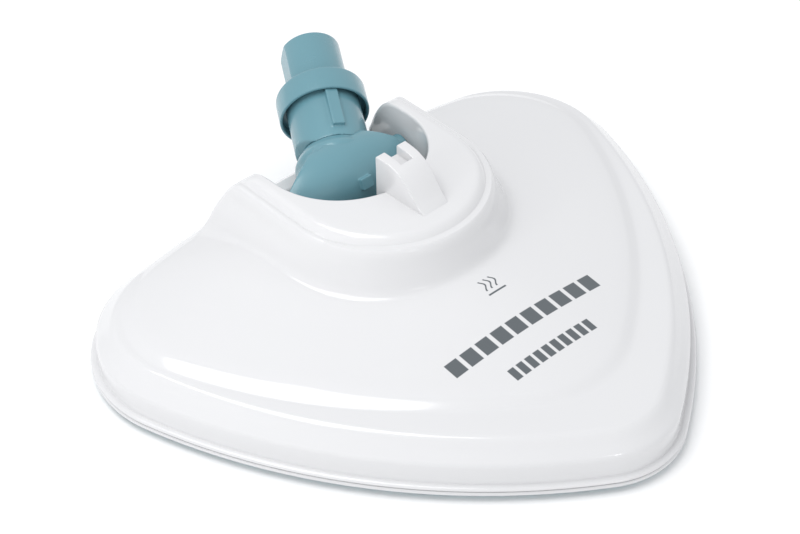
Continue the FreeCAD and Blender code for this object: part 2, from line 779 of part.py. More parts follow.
def trunnion(side):
    reach = knuckle_left if side < 0 else knuckle_right
    inner = reach - trunnion_depth
    outer = -seal_x() + 1.0 if side < 0 else cheek_x + cheek_t + 0.4
    start = -outer if side < 0 else inner
    pin = cyl(trunnion_r, outer - inner, Vector(start, 0, 0), X_AXIS)
    if side < 0:
        return to_knuckle(pin.cut(cyl(trunnion_bore_r, outer, Vector(start, 0, 0), X_AXIS)))
    head = cyl(trunnion_r + 1.6, 1.0, Vector(outer - EPS, 0, 0), X_AXIS)
    return to_knuckle(fuse_all([pin, head]))


def foot_wedge(reach):
    """The neck's foot is trimmed to this wedge, so that it clears both hubs at full swivel."""
    hub_angle = math.degrees(math.asin(hub_r / ball_r))
    half = math.radians(90.0 - rest_swivel - hub_angle - foot_margin)
    across = reach * math.tan(half)
    pts = [Vector(0, -reach, 0), Vector(across, -reach, reach), Vector(-across, -reach, reach)]
    return Part.Face(Part.makePolygon(pts + pts[:1])).extrude(Vector(0, 2 * reach, 0))


def neck_tube():
    """Round neck with a cupped foot, a swivel tongue and the rib on its front."""
    shaft = cyl(neck_r, collar_z + collar_h - 2.0, Vector(0, 0, 0))
    shaft = shaft.common(foot_wedge(60.0)).cut(Part.makeSphere(ball_r + turn_gap))
    web = block(-web_half, web_half, -tongue_t / 2, tongue_t / 2, 0, ball_r + 3)
    tongue = cyl(tongue_r, tongue_t, Vector(0, -tongue_t / 2, 0), Y_AXIS)
    rib = block(-rib_w / 2, rib_w / 2, -neck_r - rib_proud, -neck_r + 3, rib_low_z, collar_z + 1)
    neck = fuse_all([shaft, web, tongue, rib])
    bore_low = ball_r + turn_gap + 3.5
    neck = neck.cut(cyl(stub_root_r + EPS, 60.0, Vector(0, 0, bore_low)))
    neck = neck.cut(cyl(pin_r + pin_bore_gap, tongue_t + 2, Vector(0, -tongue_t / 2 - 1, 0), Y_AXIS))
    return neck.cut(cyl(steam_bore_r, bore_low + 2, Vector(0, 0, 0)))


def collar_ring():
    """Collar around the neck's mouth, hollowed underneath; the rib ends inside that hollow."""
    body = ring(collar_r, neck_r + EPS, collar_h - 2.0, Vector(0, 0, collar_z))
    top = ring(collar_r, stub_root_r + EPS, 2.0, Vector(0, 0, collar_z + collar_h - 2.0))
    body = fuse_all([body, top])
    body = body.cut(ring(collar_r - 1.6, neck_r, 5.0, Vector(0, 0, collar_z)))
    dimple = cyl(1.2, 3.0, Vector(0, -collar_r - 1, collar_z + 10.0), Y_AXIS)
    return body.cut(dimple)


def connector_stub():
    """Stub that the mop's tube pushes onto, with a flat that keys it."""
    low = ball_r + turn_gap + 3.5
    shoulder_z = collar_z + collar_h
    body = ring(stub_r, stub_r - stub_wall, stub_end_z - shoulder_z, Vector(0, 0, shoulder_z))
    root = ring(stub_root_r, stub_r - stub_wall, shoulder_z - low, Vector(0, 0, low))
    floor = ring(stub_root_r, steam_bore_r + riser_wall + EPS, 3.0, Vector(0, 0, low))
    body = fuse_all([body, root, floor])
    key_flat = block(-stub_r - 1, -stub_flat, -stub_r, stub_r, shoulder_z, stub_end_z + 1)
    return body.cut(key_flat)


def riser_tube():
    """Inner steam pipe, from the tongue's bore to near the stub's mouth."""
    low = ball_r + turn_gap + 3.5
    top = stub_end_z - 8.0
    pipe = cyl(steam_bore_r + riser_wall, top - low, Vector(0, 0, low))
    pipe = pipe.cut(cyl(supply_bore_r, top - low + 2, Vector(0, 0, low - 1)))
    return pipe.cut(cyl(steam_bore_r, inlet_l + 1, Vector(0, 0, top - inlet_l)))


def riser_seal():
    low = ball_r + turn_gap + 6.5
    return ring(stub_r - stub_wall - EPS, steam_bore_r + riser_wall + EPS, 3.0, Vector(0, 0, low))


def main():
    os.makedirs("parts", exist_ok=True)
    parts = {
        "top_cover": top_cover(),
        "base_housing": base_housing(),
        "sole_plate": sole_plate(),
        "manifold_gasket": manifold_gasket(),
        "steam_manifold": steam_manifold(),
        "steam_hose": steam_hose(),
        "hose_clamps": hose_clamps(),
        "steam_elbow": steam_elbow(),
        "trunnion_seal": trunnion_seal(),
        "joint_cradle": joint_cradle(),
        "pivot_bush_left": pivot_bush(-1),
        "pivot_bush_right": pivot_bush(1),
        "cover_screws": cover_screws(),
        "sole_screws": sole_screws(),
        "cradle_screws": cradle_screws(),
        "knuckle_front_shell": to_knuckle(knuckle_shell(True)),
        "knuckle_rear_shell": to_knuckle(knuckle_shell(False)),
        "knuckle_screws": knuckle_screws(),
        "swivel_pin": swivel_pin(),
        "pin_cap": pin_cap(),
        "trunnion_left": trunnion(-1),
        "trunnion_right": trunnion(1),
        "neck_tube": to_neck(neck_tube()),
        "collar_ring": to_neck(collar_ring()),
        "connector_stub": to_neck(connector_stub()),
        "riser_tube": to_neck(riser_tube()),
        "riser_seal": to_neck(riser_seal()),
    }
    parts.update(strip_boxes())
    for name, shape in parts.items():
        shape.exportStep("parts/" + name + ".step")
        bounds = shape.BoundBox
        print(name, len(shape.Solids), shape.isValid(), round(shape.Volume / 1000, 2), "cc",
              [round(v, 1) for v in (bounds.XMin, bounds.XMax, bounds.YMin, bounds.YMax, bounds.ZMin, bounds.ZMax)])


main()
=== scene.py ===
"""Looks for a steam mop's floor head: gloss cover, park bracket, teal joint and a studio stage."""
import json
import math

import bmesh
import bpy
import numpy as np
from bpy.props import FloatProperty, FloatVectorProperty, IntProperty, PointerProperty
from mathutils import Matrix, Vector


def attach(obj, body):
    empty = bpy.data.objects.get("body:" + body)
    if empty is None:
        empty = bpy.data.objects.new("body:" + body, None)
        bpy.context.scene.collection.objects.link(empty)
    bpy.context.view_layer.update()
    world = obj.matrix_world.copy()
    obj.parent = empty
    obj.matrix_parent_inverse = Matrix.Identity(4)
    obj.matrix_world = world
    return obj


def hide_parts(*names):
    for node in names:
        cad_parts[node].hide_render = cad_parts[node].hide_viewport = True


bl_info = {
    "name": "Steam Mop Head",
    "version": (1, 0, 0),
    "blender": (4, 5, 0),
    "location": "3D View > Sidebar > Mop Head",
    "description": "Builds the moulded cover, the joint's shells and the finishes of a steam mop head",
    "category": "Object",
}

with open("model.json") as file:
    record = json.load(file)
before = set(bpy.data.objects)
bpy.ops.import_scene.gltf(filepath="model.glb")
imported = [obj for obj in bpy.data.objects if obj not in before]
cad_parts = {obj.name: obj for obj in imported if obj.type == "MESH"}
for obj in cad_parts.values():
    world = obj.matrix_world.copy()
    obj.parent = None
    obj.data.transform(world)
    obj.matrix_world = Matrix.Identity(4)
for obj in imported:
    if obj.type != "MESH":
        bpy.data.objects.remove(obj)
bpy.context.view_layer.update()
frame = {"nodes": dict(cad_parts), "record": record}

# Profile tables, in metres: each pair of rows is read side by side.
# The deck, from its middle to its edge, then the skirt by its distance inside the head's edge.
DECK_SHARES = [0.0, 0.3, 0.45, 0.67, 0.85, 0.955, 0.983, 1.008]
DECK_HEIGHTS = [0.0447, 0.0440, 0.0419, 0.0377, 0.0343, 0.0318, 0.0302, 0.0290]
SKIRT_INSETS = [0.014, 0.008, 0.0037]
SKIRT_HEIGHTS = [0.0286, 0.0232, 0.0189]
# The skirt's foot and the rounded lip: inset from the edge, rise over the lip's top.
LIP_ROWS = [
    (0.00355, 0.0098), (0.00345, 0.0086), (0.0034, 0.0070), (0.0034, 0.0035), (0.0034, 0.0004),
    (0.0031, 0.0), (0.0024, 0.0), (0.0014, -0.00005), (0.0006, -0.0003),
    (0.0001, -0.0008), (0.0, -0.0012), (0.0001, -0.0016), (0.0005, -0.0021), (0.0012, -0.0023),
    (0.006, -0.0023),
]
# The rolled edge of the well's mouth: step outward, drop below the mouth.
MOUTH_ROWS = [(0.0, 0.0017), (0.00025, 0.0008), (0.0008, 0.00025)]
MOUTH_WIDTH = 0.0018
# The boss's groove, bead and wall: distance outside the boss's outline, height against its top.
WALL_REACH = [
    -0.030, -0.0105, -0.0078, -0.0062, -0.0050, -0.0036, -0.0020,
    -0.0007, 0.0006, 0.0040, 0.0075, 0.013, 0.030,
]
WALL_HEIGHTS = [
    0.0005, 0.0, -0.0010, -0.0033, -0.0043, -0.0041, -0.0047,
    -0.0075, -0.0120, -0.0200, -0.0290, -0.0385, -0.060,
]
# The fall of the legs towards their ends: y against the boss's back, height against its top.
LEG_REACH = [-0.060, -0.0345, -0.0245, -0.0165, -0.0100, -0.0055, -0.0023, 0.0, 0.010]
LEG_HEIGHTS = [0.012, 0.0035, 0.0005, -0.0050, -0.0145, -0.0260, -0.0370, -0.0470, -0.090]
# The bracket's back, from its low tip to its horns, as shares of its run and rise.
BRACKET_SHARES = [0.0, 0.155, 0.26, 0.39, 0.56, 0.76, 1.0]
BRACKET_RISES = [-0.02, 0.22, 0.43, 0.67, 0.89, 0.985, 1.0]
BRACKET_TAPER = 0.16
# How far the bracket's foot reaches under the boss's top: tip, rear face and root; its root's step back.
TIP_DEPTH, REAR_DEPTH, ROOT_DEPTH, ROOT_STEP = 0.004, 0.009, 0.012, 0.0005
HORN_EDGE, HORN_DROP = 0.0006, 0.0007
NOTCH_RUN, NOTCH_PAST, NOTCH_OVER = 0.012, 0.01, 0.02
# The neck's ball is fuller under the cup, down to these turns from its top.
CUP_FILL, CUP_FROM, CUP_TO = 0.0017, 1.16, 1.42
# The collar's rims: inset from its radius, distance from its foot or its top.
COLLAR_FOOT_ROWS = [
    (0.0016, 0.005), (0.0016, 0.0006), (0.0013, 0.0001), (0.0008, 0.0),
    (0.0003, 0.0002), (0.00005, 0.0006), (0.0, 0.0015),
]
COLLAR_TOP_ROWS = [(0.0, 0.0016), (0.0002, 0.0008), (0.0006, 0.0003), (0.0013, 0.0), (0.003, 0.0)]
COLLAR_LEDGE, COLLAR_RECESS, COLLAR_PLAY = 0.002, 0.005, 0.0001
# The stub's mouth: inset from its radius, distance from its end; then the same for its bore's edge.
STUB_MOUTH_ROWS = [(0.0, 0.0013), (0.0002, 0.0006), (0.0006, 0.0002), (0.0012, 0.0)]
STUB_BORE_ROWS = [(-0.0006, 0.0), (-0.0001, 0.0004), (0.0, 0.001)]
STUB_SHANK, STUB_ROOT = 0.0004, 0.012
# Plan radii of the raised deck: corner, nose, sides, back.
DECK_RADII = (0.050, 0.058, 0.290, 0.560)
# The rings of the cover are drawn around this point in plan.
COVER_CENTRE = (0.0, 0.020)
# Rings lie closer together around the legs' ends: direction, share added, width.
LEG_HEADING, LEG_EXTRA, LEG_WIDTH = 0.935, 2.2, 0.14
# Widths over which the boss blends into its crest and into the deck, and the legs' inner step.
CREST_BLEND, DECK_BLEND = 0.0035, 0.007
LEG_STEP, LEG_STEP_FROM, LEG_STEP_TO = 0.045, -0.0004, 0.0016
WELL_CORNER = 0.003
# The printed bars: centre x and y, half length, half height, pitch of the dashes, half gap.
UPPER_BAR = (-0.0015, -0.075, 0.0485, 0.0045, 0.0097, 0.0011)
LOWER_BAR = (-0.003, -0.0955, 0.027, 0.0036, 0.0054, 0.0008)
BAR_EDGE = 0.00022
# The steam sign: x of its three waves, y of their middle and of the line, and stroke sizes.
WAVE_PLACES = (-0.0012, 0.002, 0.0052)
WAVE_Y, WAVE_HALF, WAVE_STROKE = -0.0475, 0.0035, 0.00045
WAVE_TURNS, WAVE_SWING = 900.0, 0.0009
LINE_Y, LINE_HALF, LINE_STROKE = -0.0535, 0.0055, 0.0005
SIGN_EDGE = 0.0002
PRINT_FROM_Z = 0.0325
# Studio lights: place, size, power, whether they show in reflections, spread in degrees.
LAMPS = {
    "key_box": ((-0.5, 0.2, 1.6), (1.2, 0.9), 13.0, True, 180.0),
    "fill_box": ((-1.1, -0.35, 0.4), (0.9, 0.5), 2.2, False, 180.0),
    "well_fill": ((-0.45, 0.0, 0.28), (0.10, 0.08), 0.005, False, 30.0),
    "front_strip": ((-0.35, -1.4, 0.75), (0.20, 0.06), 0.45, True, 180.0),
    "right_strip": ((0.9, -0.9, 0.9), (0.3, 0.12), 0.9, False, 180.0),
}
LAMPS_AIM = (0, 0, 0.03)
ROOM_COLOUR = (0.93, 0.94, 0.96, 1.0)
ROOM_STRENGTH = 0.86
FLOOR_SPAN, FLOOR_COUNT = 3.0, 9


# ------------------------------------------------------------------ sizes and colours
def length(label, note, default):
    return FloatProperty(name=label, description=note, default=default, min=0.0, unit="LENGTH", precision=4)


def place(label, note, default):
    return FloatProperty(name=label, description=note, default=default, unit="LENGTH", precision=4)


def paint(label, note, default):
    return FloatVectorProperty(
        name=label, description=note, default=default, size=3, min=0.0, max=1.0, subtype="COLOR"
    )


def share(label, note, default):
    return FloatProperty(name=label, description=note, default=default, min=0.0, max=1.0, subtype="FACTOR")


class HeadSizes(bpy.types.PropertyGroup):
    """Plan sizes of the floor head."""

    width: length("Width", "Across the head's two rear corners", 0.320)
    front: place("Front", "Y of the nose", -0.16414)
    back: place("Back", "Y of the bowed back edge", 0.1092)
    corner: length("Corner radius", "Plan radius of the rear corners", 0.0638)
    nose: length("Nose radius", "Plan radius of the nose", 0.0443)
    side_bow: length("Side bow", "Plan radius of the long sides", 0.3146)
    rear_bow: length("Rear bow", "Plan radius of the back edge", 0.5803)
    deck_side: length("Deck inset, sides", "Head's edge to the raised deck's edge", 0.018)
    deck_nose: length("Deck inset, nose", "Nose to the raised deck's edge", 0.0412)
    deck_rear: length("Deck inset, back", "Back edge to the raised deck's edge", 0.0152)
    lip_foot: length("Lip foot", "Height of the underside of the cover's lip", 0.006)
    lip_height: length("Lip height", "Thickness of the rounded lip", 0.0023)
    columns: IntProperty(name="Columns", description="Faces around the cover", default=900, min=120)


class BossSizes(bpy.types.PropertyGroup):
    """Sizes of the horseshoe boss and its well."""

    radius: length("Boss radius", "Plan radius of the boss's front", 0.0566)
    centre: place("Boss centre", "Y of the boss's centre", 0.0263)
    back: place("Boss back", "Y of the legs' ends", 0.0905)
    top: length("Boss top", "Height of the boss", 0.067)
    leg_round: length("Leg rounding", "Plan radius of the legs' outer back corners", 0.00705)
    well: length("Well radius", "Radius of the joint's opening", 0.0425)
    well_centre: place("Well centre", "Y of the well's centre", 0.0555)
    well_back: place("Well back", "Y of the well's rear wall", 0.0845)
    apron: length("Apron height", "Height of the open way between the legs", 0.030)
    skirt: length("Well foot", "Height of the lower end of the well's wall", 0.024)


class BracketSizes(bpy.types.PropertyGroup):
    """Sizes of the park bracket."""

    width: length("Width", "Across the bracket's two horns", 0.019)
    tip: place("Tip", "Y of the low front end", -0.0135)
    rear: place("Rear", "Y of the horns' faces", 0.0195)
    top: length("Top", "Height of the horns", 0.086)
    notch: length("Notch width", "Gap between the horns", 0.008)
    notch_depth: length("Notch depth", "Depth of that gap", 0.0055)
    edge: length("Edge radius", "Rounding of the bracket's edges", 0.0016)


class JointSizes(bpy.types.PropertyGroup):
    """Sizes of the collar, the stub and the joint's rest position."""

    pivot_y: place("Pivot Y", "Y of the crossing of the two joint axes", 0.0584)
    pivot_z: length("Pivot height", "Height of that crossing", 0.0452)
    tilt: FloatProperty(
        name="Rest tilt", description="Lean back from upright", default=math.radians(73.4), subtype="ANGLE"
    )
    swivel: FloatProperty(
        name="Rest swivel", description="Lean to the side", default=math.radians(29.1), subtype="ANGLE"
    )
    ball: length("Ball radius", "Ball under the neck's cup", 0.0215)
    neck: length("Neck radius", "Outer radius of the neck", 0.0193)
    collar: length("Collar radius", "Outer radius of the collar", 0.0235)
    collar_foot: length("Collar foot", "Pivot to the collar's lower rim", 0.0413)
    collar_height: length("Collar height", "Length of the collar", 0.0143)
    stub: length("Stub radius", "Outer radius of the stub", 0.016)
    stub_end: length("Stub end", "Pivot to the stub's mouth", 0.0864)
    stub_wall: length("Stub wall", "Wall of the stub", 0.003)
    stub_flat: length("Stub flat", "Stub's axis to its keying flat", 0.0147)
    grain: length("Mould detail", "Cell size of the joint shells' surface", 0.00042)


class Finishes(bpy.types.PropertyGroup):
    """Colours of the materials."""

    cover: paint("Cover", "Gloss white plastic", (0.665, 0.665, 0.672))
    teal: paint("Joint", "Teal plastic", (0.124, 0.275, 0.325))
    sole: paint("Sole", "Teal plastic of the sole", (0.21, 0.43, 0.50))
    print_grey: paint("Print", "Printed marks on the cover", (0.050, 0.064, 0.074))
    floor: paint("Floor", "Studio floor", (0.90, 0.90, 0.90))
    gloss: share("Cover roughness", "Roughness of the cover", 0.13)


class StageSizes(bpy.types.PropertyGroup):
    """Camera and lights."""

    camera: FloatVectorProperty(
        name="Camera", description="Camera's place", default=(-0.5172, -0.5737, 0.6782), size=3, unit="LENGTH"
    )
    target: FloatVectorProperty(
        name="Target", description="Point the camera looks at", default=(-0.00812, 0.00473, 0.025), size=3,
        unit="LENGTH",
    )
    roll: FloatProperty(
        name="Roll", description="Turn about the view's axis", default=math.radians(-1.137), subtype="ANGLE"
    )
    lens: FloatProperty(name="Lens", description="Focal length", default=92.1, min=10.0, unit="CAMERA")
    light: FloatProperty(name="Light", description="Strength of the studio light", default=1.0, min=0.0)


# ------------------------------------------------------------------ shader expressions
class Signal:
    """One shader socket on which arithmetic can be written."""

    def __init__(self, shader, socket):
        self.shader = shader
        self.socket = socket

    def _join(self, operation, *values):
        inputs = dict(enumerate(values))
        return self.shader.node("ShaderNodeMath", {"operation": operation}, inputs)[0]

    def __add__(self, other):
        return self._join("ADD", self, other)

    def __radd__(self, other):
        return self._join("ADD", other, self)

    def __sub__(self, other):
        return self._join("SUBTRACT", self, other)

    def __rsub__(self, other):
        return self._join("SUBTRACT", other, self)

    def __mul__(self, other):
        return self._join("MULTIPLY", self, other)

    def __rmul__(self, other):
        return self._join("MULTIPLY", other, self)

    def __abs__(self):
        return self._join("ABSOLUTE", self)

    def most(self, other):
        return self._join("MAXIMUM", self, other)

    def modulo(self, other):
        return self._join("FLOORED_MODULO", self, other)

    def sine(self):
        return self._join("SINE", self)

    def ramp_down(self, edge, soft):
        """1 below the edge and 0 above it, over a soft width."""
        node = self.shader.node(
            "ShaderNodeMapRange",
            {"interpolation_type": "SMOOTHSTEP"},
            {"Value": self, "From Min": edge - soft, "From Max": edge + soft, "To Min": 1.0, "To Max": 0.0},
        )
        return node[0]


class Shader:
    """A material whose nodes are all made by one method."""

    def __init__(self, name):
        self.material = bpy.data.materials.new(name)
        self.material.use_nodes = True
        self.tree = self.material.node_tree
        self.tree.nodes.clear()

    def node(self, kind, settings=None, inputs=None):
        """Adds a node: settings first, then values or links. Returns its outputs as signals."""
        made = self.tree.nodes.new(kind)
        for key, value in (settings or {}).items():
            setattr(made, key, value)
        for key, value in (inputs or {}).items():
            if isinstance(value, Signal):
                self.tree.links.new(value.socket, made.inputs[key])
            else:
                made.inputs[key].default_value = value
        return [Signal(self, out) for out in made.outputs]

    def point(self):
        """The object's own coordinates, in metres."""
        return self.node("ShaderNodeTexCoord")[3]

    def split(self, vector):
        return self.node("ShaderNodeSeparateXYZ", None, {"Vector": vector})

    def noise(self, where, scale, detail=2.0, rough=0.5):
        inputs = {"Vector": where, "Scale": scale, "Detail": detail, "Roughness": rough}
        return self.node("ShaderNodeTexNoise", None, inputs)[0]

    def stretched(self, where, along):
        return self.node("ShaderNodeVectorMath", {"operation": "MULTIPLY"}, {0: where, 1: along})[0]

    def blend(self, amount, first, second):
        """Mix of two colours."""
        made = self.node("ShaderNodeMix", {"data_type": "RGBA"}, {0: amount, 6: first, 7: second})
        return made[2]

    def bump(self, height, strength, distance):
        return self.node(
            "ShaderNodeBump", None, {"Strength": strength, "Distance": distance, "Height": height}
        )[0]

    def finish(self, **sockets):
        """Closes the material with one principled surface."""
        named = {key.replace("_", " ").title().replace("Ior", "IOR"): value for key, value in sockets.items()}
        surface = self.node("ShaderNodeBsdfPrincipled", None, named)[0]
        self.node("ShaderNodeOutputMaterial", None, {"Surface": surface})
        return self.material


def rgba(colour, factor=1.0):
    return (*[min(1.0, c * factor) for c in colour], 1.0)


def gloss_plastic(name, colour, roughness, coat, variation=0.04, peel=0.02):
    """Moulded gloss plastic: faint flow marks, dull patches from handling and a fine mould texture."""
    shader = Shader(name)
    where = shader.point()
    flow = shader.noise(shader.stretched(where, (1.0, 1.6, 0.7)), 14.0, 3.0)
    handled = shader.noise(where, 38.0, 4.0, 0.6)
    fine = shader.noise(where, 2600.0, 2.0)
    speck = shader.noise(where, 900.0, 1.0)
    base = shader.blend(flow, rgba(colour, 1.0 - variation), rgba(colour, 1.0 + variation))
    rough = roughness * 0.8 + handled * (roughness * 0.55)
    height = fine * 0.6 + speck * 0.4
    return shader.finish(
        base_color=base, roughness=rough, normal=shader.bump(height, peel, 0.0002),
        coat_weight=coat, coat_roughness=0.05, ior=1.5,
    )


def printed_cover(name, finishes):
    """Gloss white cover with two dashed grey bars and a steam sign ahead of the boss."""
    shader = Shader(name)
    where = shader.point()
    x, y, z = shader.split(where)
    flow = shader.noise(shader.stretched(where, (1.0, 1.4, 0.6)), 9.0, 3.0)
    handled = shader.noise(where, 30.0, 4.0, 0.6)
    fine = shader.noise(where, 2200.0, 2.0)
    speck = shader.noise(where, 700.0, 1.0)
    base = shader.blend(flow, rgba(finishes.cover, 0.985), rgba(finishes.cover, 1.01))

    def dashes(mid_x, mid_y, half_x, half_y, pitch, gap):
        over = abs(x - mid_x).ramp_down(half_x - gap, BAR_EDGE)
        within = abs(y - mid_y).ramp_down(half_y, BAR_EDGE)
        phase = (x - mid_x + half_x).modulo(pitch)
        dash = abs(phase - pitch * 0.5).ramp_down(pitch * 0.5 - gap, BAR_EDGE)
        return over * within * dash

    def wave(mid_x):
        swing = (y * WAVE_TURNS).sine() * WAVE_SWING
        stroke = abs(x - mid_x - swing).ramp_down(WAVE_STROKE, SIGN_EDGE)
        return stroke * abs(y - WAVE_Y).ramp_down(WAVE_HALF, SIGN_EDGE)

    bars = dashes(*UPPER_BAR).most(dashes(*LOWER_BAR))
    left, middle, right = (wave(mid_x) for mid_x in WAVE_PLACES)
    line = abs(y - LINE_Y).ramp_down(LINE_STROKE, SIGN_EDGE)
    line = line * abs(x - WAVE_PLACES[1]).ramp_down(LINE_HALF, SIGN_EDGE)
    below = (z - PRINT_FROM_Z).ramp_down(0.0, 0.0005)
    marks = bars.most(left.most(middle).most(right)).most(line) * (1 - below) * 0.94
    base = shader.blend(marks, base, rgba(finishes.print_grey))
    rough = finishes.gloss * 0.75 + handled * (finishes.gloss * 0.5) + marks * 0.12
    height = fine * 0.6 + speck * 0.4 + marks * 0.8
    return shader.finish(
        base_color=base, roughness=rough, normal=shader.bump(height, 0.015, 0.0002),
        coat_weight=0.4, coat_roughness=0.04, ior=1.5,
    )


def matte_plastic(name, colour, roughness=0.55):
    """Spark-eroded plastic of the inner parts."""
    shader = Shader(name)
    where = shader.point()
    grain = shader.noise(where, 1500.0, 3.0, 0.6)
    cloud = shader.noise(where, 45.0, 3.0)
    base = shader.blend(cloud, rgba(colour, 0.85), rgba(colour, 1.12))
    rough = roughness - 0.08 + grain * 0.16
    return shader.finish(base_color=base, roughness=rough, normal=shader.bump(grain, 0.25, 0.0003))


def silicone(name, colour):
    """Soft seal material with a dusty bloom."""
    shader = Shader(name)
    where = shader.point()
    bloom = shader.noise(where, 220.0, 4.0, 0.65)
    base = shader.blend(bloom, rgba(colour, 0.8), rgba(colour, 1.05))
    return shader.finish(
        base_color=base, roughness=0.5 + bloom * 0.25, normal=shader.bump(bloom, 0.1, 0.0002),
        subsurface_weight=0.05,
    )


def turned_steel(name, colour, roughness=0.3):
    """Drawn or turned steel: fine rings and faint stains."""
    shader = Shader(name)
    where = shader.point()
    rings = shader.noise(shader.stretched(where, (900.0, 60.0, 900.0)), 6.0, 3.0, 0.7)
    stain = shader.noise(where, 90.0, 3.0)
    base = shader.blend(stain, rgba(colour, 0.82), rgba(colour, 1.06))
    rough = roughness - 0.06 + rings * 0.14
    return shader.finish(
        base_color=base, metallic=1.0, roughness=rough, normal=shader.bump(rings, 0.08, 0.0001)
    )


def hook_tape(name, colour):
    """Hook strip: rows of small bent hooks on a woven backing."""
    shader = Shader(name)
    where = shader.point()
    cells = shader.node("ShaderNodeTexVoronoi", {"feature": "F1"}, {"Vector": where, "Scale": 650.0})[0]
    weave = shader.noise(shader.stretched(where, (1.0, 6.0, 1.0)), 700.0, 2.0)
    hooks = cells.ramp_down(0.35, 0.2)
    base = shader.blend(hooks * 0.7 + weave * 0.2, rgba(colour, 0.55), rgba(colour, 1.05))
    return shader.finish(
        base_color=base, roughness=0.6 + weave * 0.2, normal=shader.bump(hooks + weave * 0.3, 0.6, 0.0006)
    )


def studio_floor(name, colour):
    """Matt painted board with a trace of roller texture."""
    shader = Shader(name)
    where = shader.point()
    cloud = shader.noise(where, 2.0, 3.0)
    nap = shader.noise(where, 420.0, 2.0)
    base = shader.blend(cloud, rgba(colour, 0.995), rgba(colour, 1.005))
    return shader.finish(base_color=base, roughness=0.75 + cloud * 0.1, normal=shader.bump(nap, 0.02, 0.0002))


# ------------------------------------------------------------------ curves and heights
def monotone(xs, ys, at):
    """Smooth curve through rising xs that never overshoots; xs and ys may hold one curve per column."""
    xs = np.broadcast_to(np.asarray(xs, float).reshape(len(xs), -1), (len(xs), at.shape[-1]))
    ys = np.broadcast_to(np.asarray(ys, float).reshape(len(ys), -1), xs.shape)
    run = np.diff(xs, axis=0)
    slope = np.diff(ys, axis=0) / run
    inner = np.where(
        slope[:-1] * slope[1:] > 0, 2 * slope[:-1] * slope[1:] / (slope[:-1] + slope[1:] + 1e-30), 0.0
    )
    tangent = np.vstack([slope[:1], inner, slope[-1:]])
    out = np.where(at <= xs[0], ys[0] + (at - xs[0]) * slope[0], ys[-1] + (at - xs[-1]) * slope[-1])
    for k in range(len(run)):
        t = (at - xs[k]) / run[k]
        inside = (t >= 0) & (t <= 1)
        t2, t3 = t * t, t * t * t
        curve = (2 * t3 - 3 * t2 + 1) * ys[k] + (3 * t2 - 2 * t3) * ys[k + 1]
        curve = curve + run[k] * ((t3 - 2 * t2 + t) * tangent[k] + (t3 - t2) * tangent[k + 1])
        out = np.where(inside, curve, out)
    return out


def soft_low(a, b, width):
    mix = np.clip(0.5 + 0.5 * (b - a) / width, 0, 1)
    return b * (1 - mix) + a * mix - width * mix * (1 - mix)


def soft_high(a, b, width):
    return -soft_low(-a, -b, width)


def step_up(value, low, high):
    t = np.clip((value - low) / (high - low), 0, 1)
    return t * t * (3 - 2 * t)


def arc(centre, radius, start, end, count=240):
    turn = np.linspace(start, end, count)
    return np.stack([centre[0] + radius * np.cos(turn), centre[1] + radius * np.sin(turn)], 1)


def heading(from_point, to_point):
    return math.atan2(to_point[1] - from_point[1], to_point[0] - from_point[0])


def rounded_triangle(half, front, back, corner, nose, side_bow, rear_bow, inset=0.0):
    """Dense points of six tangent arcs: bowed back, two corners, two bowed sides and a nose."""
    rear_c = (0.0, back - rear_bow)
    cx = half - corner
    corner_c = (cx, rear_c[1] + math.sqrt((rear_bow - corner) ** 2 - cx ** 2))
    nose_c = (0.0, front + nose)
    gap = math.dist(corner_c, nose_c)
    one, two = side_bow - corner, side_bow - nose
    run = (one ** 2 - two ** 2 + gap ** 2) / (2 * gap)
    rise = math.sqrt(one ** 2 - run ** 2)
    ux, uy = (nose_c[0] - corner_c[0]) / gap, (nose_c[1] - corner_c[1]) / gap
    mid = (corner_c[0] + ux * run, corner_c[1] + uy * run)
    picks = [(mid[0] + uy * rise, mid[1] - ux * rise), (mid[0] - uy * rise, mid[1] + ux * rise)]
    side_c = min(picks)
    rear_turn = heading(rear_c, corner_c)
    side_turn = heading(side_c, corner_c)
    nose_turn = heading(side_c, nose_c)
    right = np.vstack([
        arc(nose_c, nose - inset, -math.pi / 2, nose_turn),
        arc(side_c, side_bow - inset, nose_turn, side_turn),
        arc(corner_c, corner - inset, side_turn, rear_turn),
        arc(rear_c, rear_bow - inset, rear_turn, math.pi / 2),
    ])
    left = right[::-1] * np.array([-1.0, 1.0])
    return np.vstack([right, left])


def reach(points, centre, turns):
    """Distance from a centre to a closed outline along each direction."""
    rel = points - np.array(centre)
    angle = np.arctan2(rel[:, 1], rel[:, 0])
    order = np.argsort(angle)
    return np.interp(turns, angle[order], np.hypot(rel[:, 0], rel[:, 1])[order], period=2 * math.pi)


def head_points(head, inset):
    return rounded_triangle(
        head.width / 2, head.front, head.back, head.corner, head.nose, head.side_bow, head.rear_bow, inset
    )


# ------------------------------------------------------------------ mesh helpers
def new_object(name, points, faces, material, sharp=35.0):
    mesh = bpy.data.meshes.new(name)
    mesh.from_pydata([tuple(p) for p in points], [], faces)
    mesh.validate()
    mesh.shade_smooth()
    mesh.set_sharp_from_angle(angle=math.radians(sharp))
    mesh.materials.append(material)
    made = bpy.data.objects.new(name, mesh)
    bpy.context.scene.collection.objects.link(made)
    return made


def ring_faces(rows, columns, closed=False):
    faces = []
    for r in range(rows if closed else rows - 1):
        low, high = r * columns, ((r + 1) % rows) * columns
        for c in range(columns):
            d = (c + 1) % columns
            faces.append((low + c, low + d, high + d, high + c))
    return faces


def baked(made):
    """Applies the modifiers of a piece."""
    depsgraph = bpy.context.evaluated_depsgraph_get()
    mesh = bpy.data.meshes.new_from_object(made.evaluated_get(depsgraph))
    made.modifiers.clear()
    made.data = mesh
    return made


